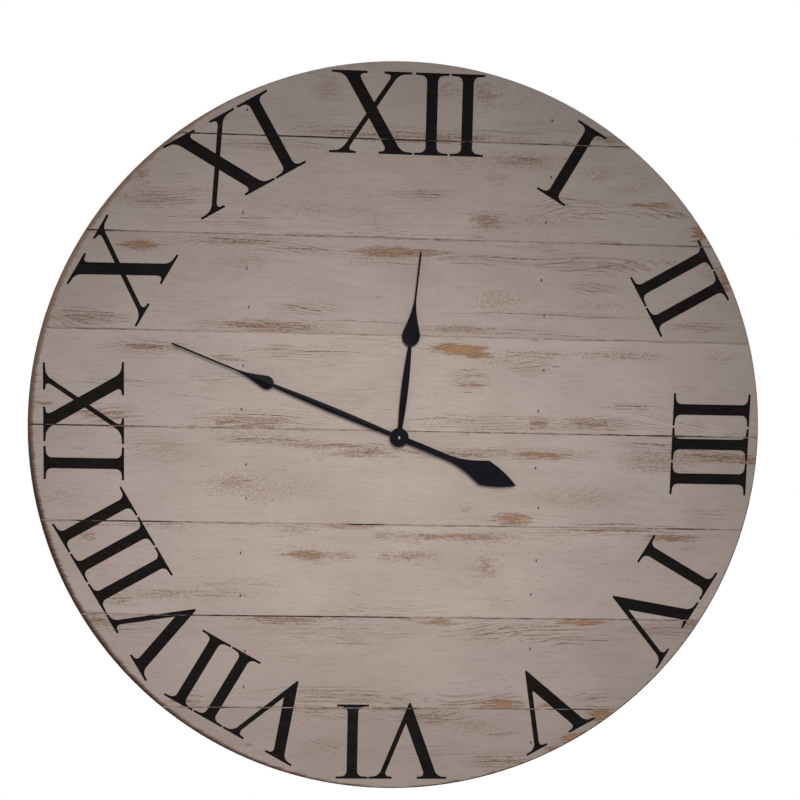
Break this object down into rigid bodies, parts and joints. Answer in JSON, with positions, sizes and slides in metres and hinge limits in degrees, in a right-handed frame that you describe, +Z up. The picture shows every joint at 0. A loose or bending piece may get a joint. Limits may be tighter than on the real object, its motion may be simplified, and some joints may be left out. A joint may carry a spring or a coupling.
{
  "type": "wall clock",
  "caption": "Large round plank wall clock with whitewashed boards, black Roman numerals, spade hands, rear battens, keyhole hangers and a geared quartz movement.",
  "frame": {"origin": "on the axis of the hands, in the plane of the wall against the battens' backs", "axes": "+X to the viewer's right, +Z up the dial, the dial faces -Y and the wall is at +Y"},
  "size_m": [0.9144, 0.0518, 0.9144],
  "materials": {
    "whitewashed_pine": "matt whitewash, rubbed through to the wood",
    "pine": "sawn, unfinished",
    "bright_steel": "plain",
    "zinc_plate": "zinc plated",
    "black_plastic": "moulded, fine matt",
    "white_plastic": "moulded acetal",
    "circuit_laminate": "bare laminate",
    "copper_winding": "enamelled copper wire",
    "battery_sleeve": "plain printed sleeve",
    "brass": "turned",
    "rubber": "moulded",
    "black_paint": "satin black paint"
  },
  "bodies": {
    "clock_body": {"board_1": "whitewashed_pine", "board_2": "whitewashed_pine", "board_3": "whitewashed_pine", "board_4": "whitewashed_pine", "board_5": "whitewashed_pine", "board_6": "whitewashed_pine", "board_7": "whitewashed_pine", "board_8": "whitewashed_pine", "batten_left": "pine", "batten_right": "pine", "brads": "bright_steel", "hanger_screws": "bright_steel", "stator": "bright_steel", "coil_core": "bright_steel", "quartz_crystal": "bright_steel", "hanger_left": "zinc_plate", "hanger_right": "zinc_plate", "contact_positive": "zinc_plate", "contact_negative": "zinc_plate", "rear_case": "black_plastic", "front_cover": "black_plastic", "gear_plate": "white_plastic", "circuit_board": "circuit_laminate", "coil": "copper_winding", "battery": "battery_sleeve", "flat_washer": "brass", "hex_nut": "brass", "rubber_washer": "rubber"},
    "minute": {"minute_shaft": "brass", "minute_hand": "black_paint", "minute_nut": "black_paint"},
    "hour": {"hour_wheel": "white_plastic", "hour_hand": "black_paint"},
    "setting": {"minute_work_wheel": "white_plastic", "setting_knob": "black_plastic"},
    "minute_wheel": {"minute_wheel": "white_plastic"},
    "third": {"third_wheel": "white_plastic"},
    "second": {"second_wheel": "white_plastic"},
    "intermediate": {"intermediate_wheel": "white_plastic"},
    "rotor": {"rotor_magnet": "bright_steel", "rotor_pinion": "white_plastic"}
  },
  "joints": [
    {"name": "minute_hand_turn", "type": "hinge", "parent": "clock_body", "child": "minute", "pos_m": [0, -0.038, 0], "axis": [0, 1, 0], "continuous": true},
    {"name": "hour_hand_turn", "type": "hinge", "parent": "clock_body", "child": "hour", "pos_m": [0, -0.038, 0], "axis": [0, 1, 0], "continuous": true},
    {"name": "setting_knob_turn", "type": "hinge", "parent": "clock_body", "child": "setting", "pos_m": [-0.01128, -0.01, 0.0041], "axis": [0, 1, 0], "continuous": true},
    {"name": "second_wheel_turn", "type": "hinge", "parent": "clock_body", "child": "second", "pos_m": [0, -0.008, 0], "axis": [0, 1, 0], "continuous": true},
    {"name": "third_wheel_turn", "type": "hinge", "parent": "clock_body", "child": "third", "pos_m": [0.00189, -0.009, 0.01071], "axis": [0, 1, 0], "continuous": true},
    {"name": "minute_wheel_turn", "type": "hinge", "parent": "clock_body", "child": "minute_wheel", "pos_m": [0, -0.012, 0], "axis": [0, 1, 0], "continuous": true},
    {"name": "intermediate_wheel_turn", "type": "hinge", "parent": "clock_body", "child": "intermediate", "pos_m": [0.011, -0.007, 0.00096], "axis": [0, 1, 0], "continuous": true},
    {"name": "rotor_turn", "type": "hinge", "parent": "clock_body", "child": "rotor", "pos_m": [0.01654, -0.006, 0.00651], "axis": [0, 1, 0], "continuous": true}
  ],
  "couplings": [
    {"joint": "hour_hand_turn", "follows": "minute_hand_turn", "ratio": 0.083333},
    {"joint": "setting_knob_turn", "follows": "minute_hand_turn", "ratio": -0.33333},
    {"joint": "third_wheel_turn", "follows": "second_wheel_turn", "ratio": -0.13333},
    {"joint": "minute_wheel_turn", "follows": "second_wheel_turn", "ratio": 0.016667},
    {"joint": "intermediate_wheel_turn", "follows": "second_wheel_turn", "ratio": -5},
    {"joint": "rotor_turn", "follows": "second_wheel_turn", "ratio": 30}
  ]
}
